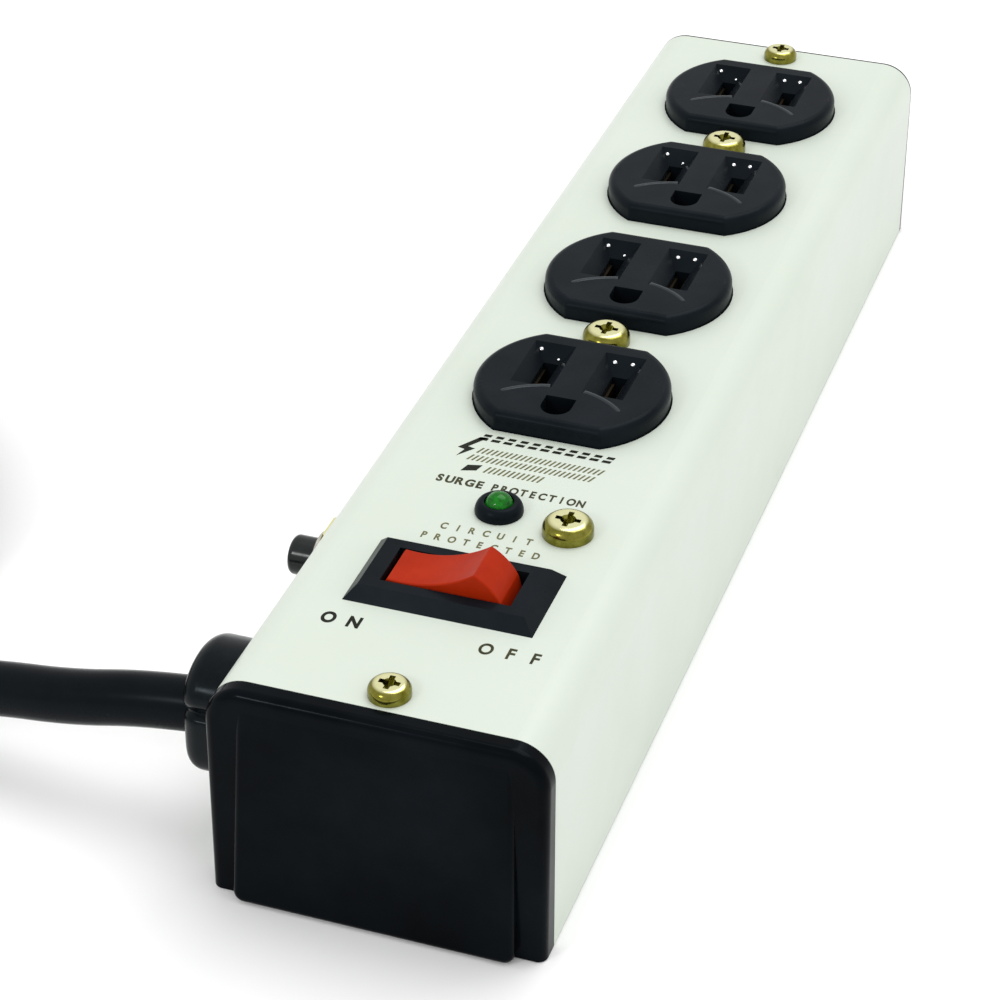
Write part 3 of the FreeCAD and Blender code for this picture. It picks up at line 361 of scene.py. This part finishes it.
def make_letter(letter, x, y, height, widen, weight):
    """One printed capital, centred on x and y."""
    data = bpy.data.curves.new("letter", "FONT")
    data.body = letter
    data.size = 1.0
    data.offset = weight
    letter_object = bpy.data.objects.new("letter", data)
    bpy.context.scene.collection.objects.link(letter_object)
    bpy.context.view_layer.update()
    mesh = bpy.data.meshes.new_from_object(letter_object.evaluated_get(bpy.context.evaluated_depsgraph_get()))
    bpy.data.objects.remove(letter_object)
    xs = [v.co.x for v in mesh.vertices]
    scale = height / CAP_HEIGHT
    middle = Vector(((min(xs) + max(xs)) / 2, CAP_HEIGHT / 2, 0))
    size = Matrix.Diagonal((scale * widen, scale, scale, 1))
    mesh.transform(Matrix.Translation((x, y, PRINT_Z)) @ size @ Matrix.Translation(-middle))
    return mesh


def make_words(name, letters, y, height, material, widen=0.8, weight=0.03):
    """A line of spaced capitals: pairs of letter and x."""
    bm = bmesh.new()
    for letter, x in letters:
        mesh = make_letter(letter, x * MM, y * MM, height * MM, widen, weight)
        bm.from_mesh(mesh)
        bpy.data.meshes.remove(mesh)
    return add_piece(name, bm, material)


def spaced(word, start, end):
    """The letters of a word, evenly placed from start to end."""
    return [(letter, start + (end - start) * k / (len(word) - 1)) for k, letter in enumerate(word)]


def make_lettering():
    make_words("lettering_on", [("O", -15.7), ("N", -11.5)], -98.95, 2.7, "ink", 0.78, 0.045)
    make_words("lettering_off", [("O", 9.8), ("F", 13.8), ("F", 17.7)], -98.85, 2.7, "dark_olive_ink",
               0.78, 0.030)
    make_words("lettering_circuit", spaced("CIRCUIT", -7.4, 6.9), -70.05, 1.7, "olive_ink", 0.72, 0.035)
    make_words("lettering_protected", spaced("PROTECTED", -9.6, 9.2), -73.4, 1.7, "olive_ink", 0.72, 0.035)
    make_words("lettering_surge", spaced("SURGE", -12.8, -5.9), -57.15, 2.0, "dark_olive_ink", 0.82, 0.045)
    make_words("lettering_protection", spaced("PROTECTION", -3.3, 11.4), -57.15, 1.9, "dark_olive_ink",
               0.72, 0.04)


def add_mark(bm, points):
    """A flat printed shape with these corners, in millimetres."""
    bm.faces.new([bm.verts.new((x * MM, y * MM, PRINT_Z)) for x, y in points])


def add_bar(bm, x, y, width, height, slant=0.0):
    """A printed bar with its foot's middle at x and y."""
    half = width / 2
    top = y + height
    add_mark(bm, [(x - half, y), (x + half, y), (x + half + slant, top), (x - half + slant, top)])


def make_printed_block():
    """A plain ornament over the words: a row of dashes, two hatched bands and a spark."""
    bold = bmesh.new()
    for k in range(11):
        x = -10.0 + 2.15 * k
        add_bar(bold, x, -44.4, 1.5, 0.75, 0.2)
        add_bar(bold, x + 0.4, -43.2, 1.3, 0.75, 0.2)
    add_mark(bold, [(-12.6, -50.2), (-10.3, -47.2), (-11.6, -46.9), (-9.2, -43.4), (-10.6, -43.6),
                    (-13.2, -47.6), (-11.9, -47.9)])
    add_mark(bold, [(-10.4, -54.2), (-7.9, -53.4), (-7.4, -51.6), (-9.8, -52.2)])
    add_piece("printed_marks", bold, "ink")
    fine = bmesh.new()
    for k in range(26):
        x = -9.6 + 0.84 * k
        add_bar(fine, x, -48.3, 0.36, 1.7, 0.7)
        add_bar(fine, x - 0.9, -50.7, 0.36, 1.7, 0.7)
    for k in range(12):
        add_bar(fine, -6.6 + 0.84 * k, -53.6, 0.36, 1.9, 0.7)
    add_piece("printed_hatching", fine, "olive_ink")


# ---- outlets -----------------------------------------------------------------------------
# Each cover has a face in front of its middle and one behind it.
COVER_MIDDLE, FACE_OFFSET = 35.6, 19.43
OUTLET_Y = [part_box(cover)[0].y + dy * MM for cover in ("outlet_cover_front", "outlet_cover_rear")
            for dy in (COVER_MIDDLE - FACE_OFFSET, COVER_MIDDLE + FACE_OFFSET)]
FACE_Z = 41.6 * MM


def make_outlet_ridges():
    """A low moulded arc across each face, in two halves, between its windows and its earth hole."""
    radius, centre_drop, half_angle, gap_angle, steps = 14.6, 17.2, 46.0, 12.0, 40
    section = ((-0.55, -0.03), (-0.18, 0.10), (0.12, 0.10), (0.42, -0.03))
    bm = bmesh.new()
    for y in OUTLET_Y:
        for start, end in ((-half_angle, -gap_angle), (gap_angle, half_angle)):
            rows = []
            for k in range(steps + 1):
                turn = math.radians(start + (end - start) * k / steps)
                out = Vector((math.sin(turn), math.cos(turn), 0))
                fade = math.sin(math.pi * k / steps) ** 0.4
                base = Vector((0, y - centre_drop * MM, FACE_Z)) + out * radius * MM
                row = []
                for across, up in section:
                    rise = up * MM * (fade if up > 0 else 1)
                    row.append(bm.verts.new(base + out * across * MM + Vector((0, 0, rise))))
                rows.append(row)
            for a, b in zip(rows, rows[1:]):
                for k in range(len(section) - 1):
                    bm.faces.new((a[k], a[k + 1], b[k + 1], b[k]))
    bmesh.ops.recalc_face_normals(bm, faces=bm.faces)
    add_piece("outlet_arc_ridges", bm, "ridge", smooth=40)


def make_outlet_glint_beads():
    """Bright polished beads in the blade windows and the earth hole, painted glints that stand in for glints
    on the windows' rounded corners and the hole's edge: x, y, height from the face, radius.
    """
    glint_spots = ((-8.7, 9.5, -1.1, 0.50), (-5.2, 8.3, -1.9, 0.32), (4.7, 9.3, -1.1, 0.50), (7.9, 9.5, -1.1, 0.50),
             (7.2, 8.0, -2.2, 0.30), (-0.9, -5.5, -0.5, 0.24))
    bm = bmesh.new()
    for y in OUTLET_Y:
        for x, dy, dz, radius in glint_spots:
            place = Matrix.Translation((x * MM, y + dy * MM, FACE_Z + dz * MM))
            bmesh.ops.create_icosphere(bm, subdivisions=3, radius=radius * MM, matrix=place)
    add_piece("outlet_glint_beads", bm, "polished", smooth=60)


# ---- lamp --------------------------------------------------------------------------------
def make_lamp():
    centre = middle_of("lamp_bezel")
    centre.z = TOP
    bm = bmesh.new()
    lathe(bm, centre, [(3.0, -8.0), (3.0, -0.3), (3.95, 0.0)] + rounding(4.0, 0.25, 2.75, 2.15)
          + [(2.45, 2.05), (2.38, 1.6), (2.38, -8.0)])
    add_piece("lamp_bezel_dome", bm, "black_plastic", smooth=35, replaces=("lamp_bezel",))


# ---- the mains lead ----------------------------------------------------------------------
CORD_R = 4.5 * MM
CORD_Y, CORD_Z = -104.5, 20.3
COIL_X, COIL_Y = -161.5, -65.4
COIL_ROWS = (37.0, 46.0, 55.0)
COIL_LOW, COIL_HIGH = 4.5, 13.5
COIL_STEP = 22.5
COIL_TURN = 1890.0

LEAD_ROUTE = [
    (-34.7, CORD_Y, CORD_Z), (-45.0, CORD_Y - 0.5, 19.6), (-58.0, CORD_Y - 0.7, 16.5),
    (-73.0, CORD_Y + 0.5, 14.0), (-90.0, CORD_Y + 0.6, 10.4), (-107.0, CORD_Y - 2.2, 6.9),
    (-124.0, CORD_Y - 7.6, 4.8), (-140.0, CORD_Y - 12.4, 4.5), (-155.5, CORD_Y - 15.9, 4.5),
]
TAIL_ROUTE = [
    (-216.5, -65.4, 13.5), (-216.3, -51.0, 13.3), (-215.0, -36.0, 12.7), (-212.2, -20.5, 11.9),
    (-208.5, -5.5, 11.5), (-205.6, 5.0, 11.5),
]

# Where the winding changes its row or its layer: degrees wound, radius, height.
WINDING = [
    (0, COIL_ROWS[2], COIL_LOW), (210, COIL_ROWS[2], COIL_LOW), (330, COIL_ROWS[1], COIL_LOW),
    (570, COIL_ROWS[1], COIL_LOW), (690, COIL_ROWS[0], COIL_LOW),
    (810, COIL_ROWS[0], COIL_LOW), (960, COIL_ROWS[0], COIL_HIGH),
    (1140, COIL_ROWS[0], COIL_HIGH), (1260, COIL_ROWS[1], COIL_HIGH),
    (1500, COIL_ROWS[1], COIL_HIGH), (1620, COIL_ROWS[2], COIL_HIGH), (COIL_TURN, COIL_ROWS[2], COIL_HIGH),
]


def wound(turned):
    """The radius and height of the winding after this many degrees."""
    for (t0, r0, z0), (t1, r1, z1) in zip(WINDING, WINDING[1:]):
        if t0 <= turned <= t1:
            share = (turned - t0) / (t1 - t0)
            share = share * share * (3 - 2 * share)
            return r0 + (r1 - r0) * share, z0 + (z1 - z0) * share


def coil_points():
    """Control points round the coil, clockwise from above, from its front to its left."""
    points = []
    swell = 1 / math.cos(math.radians(COIL_STEP / 2))
    for k in range(int(COIL_TURN / COIL_STEP)):
        turned = COIL_STEP * (k + 0.5)
        r, z = wound(turned)
        angle = math.radians(-90 - turned)
        points.append((COIL_X + r * swell * math.cos(angle), COIL_Y + r * swell * math.sin(angle), z))
    return points


def make_spline(name, points, radius):
    """A round NURBS cord. Its radius is on its points, so that its box is the cord's own."""
    data = bpy.data.curves.new(name, "CURVE")
    data.dimensions = "3D"
    data.bevel_depth = 1.0
    data.bevel_resolution = 8
    data.resolution_u = 10
    data.use_fill_caps = True
    spline = data.splines.new("NURBS")
    spline.points.add(len(points) - 1)
    for place, point in zip(spline.points, points):
        place.co = (*mm(*point), 1)
        place.radius = radius
    spline.order_u = 3
    spline.use_endpoint_u = True
    curve = bpy.data.objects.new(name, data)
    bpy.context.scene.collection.objects.link(curve)
    return curve


def make_cord(tie):
    cord = make_spline("mains_lead", LEAD_ROUTE + coil_points() + TAIL_ROUTE, CORD_R)
    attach(cord, "root")
    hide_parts("cord_lead", "cord_coil", "cord_tail")
    return cord


# ---- the strain relief's head ------------------------------------------------------------
RELIEF_MIDDLE = mm(LEFT_MM, CORD_Y, 21.5)
RELIEF_OUT, RELIEF_EDGE = 8.4, 2.9
RELIEF_R, RELIEF_FLAT = 10.9, 8.7
RELIEF_INNER_END = -0.8     # inside the wall
BORE_GAP = 0.25
NOTCH_DEPTH, NOTCH_WIDTH = 1.5, 0.11
RELIEF_NOTCHES = (math.radians(24), math.radians(156))


def relief_radius(turn):
    """The head's outline: a circle with two flats, softened where they meet, and a notch in each flat."""
    flat = RELIEF_FLAT / max(abs(math.cos(turn)), 1e-6)
    sharpness = 14
    radius = (RELIEF_R ** -sharpness + flat ** -sharpness) ** (-1 / sharpness)
    for notch in RELIEF_NOTCHES:
        away = math.remainder(turn - notch, 2 * math.pi)
        radius -= NOTCH_DEPTH * math.exp(-(away / NOTCH_WIDTH) ** 2)
    return radius


def relief_ring(middle, out, radius_at, steps=160):
    """Points round an axis along x, this far out from the wall, at a radius for each direction."""
    ring = []
    for k in range(steps):
        turn = 2 * math.pi * k / steps
        radius = radius_at(turn)
        ring.append(middle + mm(-out, radius * math.cos(turn), radius * math.sin(turn)))
    return ring


def make_relief():
    """The strain relief's head: round-shouldered, notched at its sides, with a belled mouth."""
    lead = Vector((RELIEF_MIDDLE.x, CORD_Y * MM, CORD_Z * MM))
    bore = CORD_R / MM + BORE_GAP

    def outline(out, inset):
        return relief_ring(RELIEF_MIDDLE, out, lambda turn: relief_radius(turn) - inset)

    def circle(out, radius):
        return relief_ring(lead, out, lambda turn: radius)

    rows = [outline(RELIEF_INNER_END, 0), outline(RELIEF_OUT - RELIEF_EDGE, 0)]
    for k in range(1, 9):
        turn = math.pi / 2 * k / 8
        rows.append(outline(RELIEF_OUT - RELIEF_EDGE * (1 - math.sin(turn)),
                            RELIEF_EDGE * (1 - math.cos(turn))))
    rows += [circle(RELIEF_OUT, bore + 0.9), circle(RELIEF_OUT - 0.3, bore + 0.3),
             circle(RELIEF_OUT - 1.0, bore), circle(RELIEF_INNER_END, bore)]
    bm = bmesh.new()
    add_tube(bm, rows, closed=True)
    bmesh.ops.recalc_face_normals(bm, faces=bm.faces)
    add_piece("strain_relief_head", bm, "relief", smooth=40, replaces=("strain_relief",))


# ---- the coil's strap --------------------------------------------------------------------
TIE_ANGLE = math.radians(60)
TIE_HALF, TIE_TOP, TIE_CORNER = 14.7, 19.2, 5.4
# The strap's section: along its width, and how deep under its outside.
TIE_SECTION = ((-7.0, 0.4), (-6.6, 0.0), (6.6, 0.0), (7.0, 0.4),
               (7.0, 0.8), (6.6, 1.2), (-6.6, 1.2), (-7.0, 0.8))
LAP_X, LAP_Y, LAP_SHIFT, LAP_CORNER = 4.2, 3.6, -1.0, 2.8


def tie_place(sideways, across, up):
    """A point at the tie: out from the middle row, along the turns, and up, in millimetres."""
    out = Vector((math.cos(TIE_ANGLE), math.sin(TIE_ANGLE), 0))
    along = Vector((-out.y, out.x, 0))
    return mm(COIL_X, COIL_Y, up) + (out * (COIL_ROWS[1] + sideways) + along * across) * MM


def make_tie():
    """A fabric strap that rounds the bundle of turns, with its free end lapped over the top."""
    bm = bmesh.new()
    band = []
    for quarter, (cx, top) in enumerate(((1, True), (-1, True), (-1, False), (1, False))):
        middle_x = cx * (TIE_HALF - TIE_CORNER)
        middle_z = TIE_TOP - TIE_CORNER if top else TIE_CORNER
        for k in range(11):
            turn = math.pi / 2 * (quarter + k / 10)
            nx, nz = math.cos(turn), math.sin(turn)
            band.append([tie_place(middle_x + nx * (TIE_CORNER - depth), across,
                                   middle_z + nz * (TIE_CORNER - depth))
                         for across, depth in TIE_SECTION])
    add_tube(bm, band, closed=True)
    lap = []
    for height, inset in ((-0.2, 0.0), (0.7, 0.0), (1.0, 0.4)):
        ring = []
        for corner, (sx, sy) in enumerate(((1, 1), (-1, 1), (-1, -1), (1, -1))):
            for k in range(7):
                turn = math.pi / 2 * (corner + k / 6)
                radius = LAP_CORNER - inset
                ring.append(tie_place(sx * LAP_X + radius * math.cos(turn) + LAP_SHIFT,
                                      sy * LAP_Y + radius * math.sin(turn), TIE_TOP + height))
        lap.append(ring)
    rings = add_tube(bm, lap)
    bm.faces.new(rings[0])
    bm.faces.new(rings[-1])
    bmesh.ops.recalc_face_normals(bm, faces=bm.faces)
    return add_piece("coil_strap", bm, "strap", smooth=50, replaces=("coil_tie",))


# ---- the scene ---------------------------------------------------------------------------
make_camera()
make_studio()
materials = make_materials()
finish_cad_nodes()
cord = make_cord(make_tie())
cord.data.materials.append(materials["cord_jacket"])
make_lettering()
make_printed_block()
make_outlet_ridges()
make_outlet_glint_beads()
make_lamp()
make_relief()
